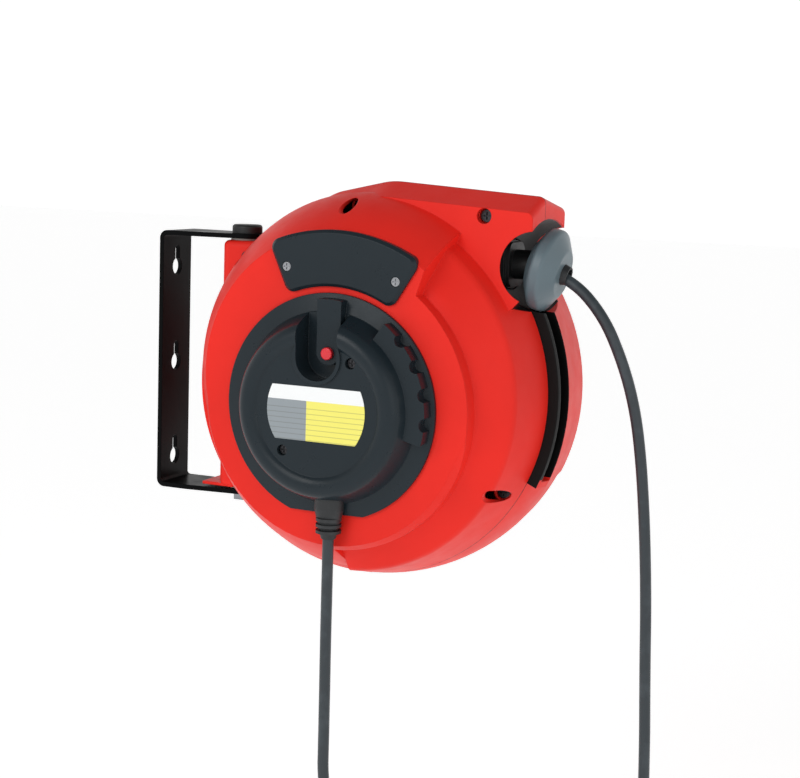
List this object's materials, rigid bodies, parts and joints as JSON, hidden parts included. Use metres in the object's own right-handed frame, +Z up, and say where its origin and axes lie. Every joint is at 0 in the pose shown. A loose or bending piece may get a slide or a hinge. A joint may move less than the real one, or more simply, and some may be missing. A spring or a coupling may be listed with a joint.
{
  "type": "extension cord reel",
  "caption": "Wall-mounted spring-driven extension cord reel: round moulded casing on a swivelling steel bracket, reset button, ball stop and a supply lead with plug.",
  "frame": {"origin": "centre of the bracket plate's back face, where it meets the wall", "axes": "+X out of the wall towards the cord mouth, the front cover faces -Y, +Z up"},
  "size_m": [0.4745, 0.2061, 0.6966],
  "materials": {
    "bracket_paint": "glossy black powder coat",
    "zinc_steel": "bright zinc plate",
    "black_steel": "black oxide screws",
    "black_plastic": "moulded black plastic",
    "grey_nylon": "natural grey nylon",
    "casing_red": "satin moulded red polypropylene",
    "cover_grey": "dark blue-grey moulded plastic with a satin sheen",
    "label": "printed foil, white, grey and yellow fields",
    "button_red": "bright red button",
    "spring_steel": "blued spring steel",
    "rubber_black": "matt black rubber",
    "drum_black": "moulded black drum plastic",
    "cord_black": "black rubber sheath",
    "brass": "bare brass",
    "carbon": "pressed carbon brush",
    "stop_grey": "dark slate-grey moulded plastic"
  },
  "bodies": {
    "bracket": {"wall_bracket": "bracket_paint", "upper_pivot_bolt": "zinc_steel", "lower_pivot_bolt": "zinc_steel", "pivot_cap": "black_plastic"},
    "drum": {"drum_front_flange": "drum_black", "drum_rear_flange": "drum_black", "drum_hub": "drum_black", "drum_tie_screws": "zinc_steel", "front_drum_bush": "grey_nylon", "rear_drum_bush": "grey_nylon", "wound_cord": "cord_black", "spring_pan": "drum_black", "spring_lid": "zinc_steel", "power_spring": "spring_steel", "slip_ring_carrier": "grey_nylon", "slip_rings": "brass", "ratchet_ring": "zinc_steel"},
    "button": {"reset_button": "button_red"},
    "pawl": {"pawl": "zinc_steel"},
    "front_roller": {"front_roller": "grey_nylon"},
    "rear_roller": {"rear_roller": "grey_nylon"},
    "lower_roller": {"lower_roller": "grey_nylon"},
    "upper_roller": {"upper_roller": "grey_nylon"},
    "casing": {"brush_holder": "black_plastic", "brushes": "carbon", "button_spring": "spring_steel", "casing_screws": "black_steel", "coil_tie": "rubber_black", "cover_screws": "black_steel", "front_casing": "casing_red", "front_cover": "cover_grey", "front_panel": "cover_grey", "guide_frame": "black_plastic", "inner_cord_run": "cord_black", "lower_pivot_bush": "grey_nylon", "main_shaft": "zinc_steel", "outlet_connector": "rubber_black", "outlet_cord": "cord_black", "panel_screws": "zinc_steel", "pawl_pin": "zinc_steel", "pawl_spring": "spring_steel", "plug_pins": "brass", "rating_label": "label", "rear_casing": "casing_red", "roller_pins": "zinc_steel", "shaft_nut": "zinc_steel", "spring_arbor": "zinc_steel", "stop_half_lower": "stop_grey", "stop_half_upper": "stop_grey", "stop_nozzle": "rubber_black", "stop_screws": "zinc_steel", "strain_relief": "rubber_black", "supply_coil": "cord_black", "supply_cord": "cord_black", "supply_plug": "rubber_black", "supply_tail": "cord_black", "terminal_block": "grey_nylon", "thermal_cut_out": "black_plastic", "upper_pivot_bush": "grey_nylon"}
  },
  "joints": [
    {"name": "bracket_swivel", "type": "hinge", "parent": "bracket", "child": "casing", "pos_m": [0.074, 0, 0], "axis": [0, 0, 1], "range_deg": [-45, 25]},
    {"name": "drum_spin", "type": "hinge", "parent": "casing", "child": "drum", "pos_m": [0.196, 0, -0.009], "axis": [0, 1, 0], "continuous": true},
    {"name": "reset_button_travel", "type": "slide", "parent": "casing", "child": "button", "axis": [0, 1, 0], "range_m": [0, 0.0025], "stiffness_N_per_m": 600, "springref_m": -0.002, "deforming": ["button_spring"]},
    {"name": "pawl_pivot", "type": "hinge", "parent": "casing", "child": "pawl", "pos_m": [0.235, -0.045, -0.07655], "axis": [0, -1, 0], "range_deg": [0, 25], "stiffness_Nm_per_rad": 0.02, "springref_deg": -17.19, "deforming": ["pawl_spring"]},
    {"name": "front_roller_spin", "type": "hinge", "parent": "casing", "child": "front_roller", "pos_m": [0.2995, -0.0042, 0.1003], "axis": [0, 0, 1], "continuous": true},
    {"name": "rear_roller_spin", "type": "hinge", "parent": "casing", "child": "rear_roller", "pos_m": [0.2995, 0.0162, 0.1003], "axis": [0, 0, 1], "continuous": true},
    {"name": "lower_roller_spin", "type": "hinge", "parent": "casing", "child": "lower_roller", "pos_m": [0.3105, 0.006, 0.0901], "axis": [0, 1, 0], "continuous": true},
    {"name": "upper_roller_spin", "type": "hinge", "parent": "casing", "child": "upper_roller", "pos_m": [0.3105, 0.006, 0.1105], "axis": [0, 1, 0], "continuous": true}
  ]
}
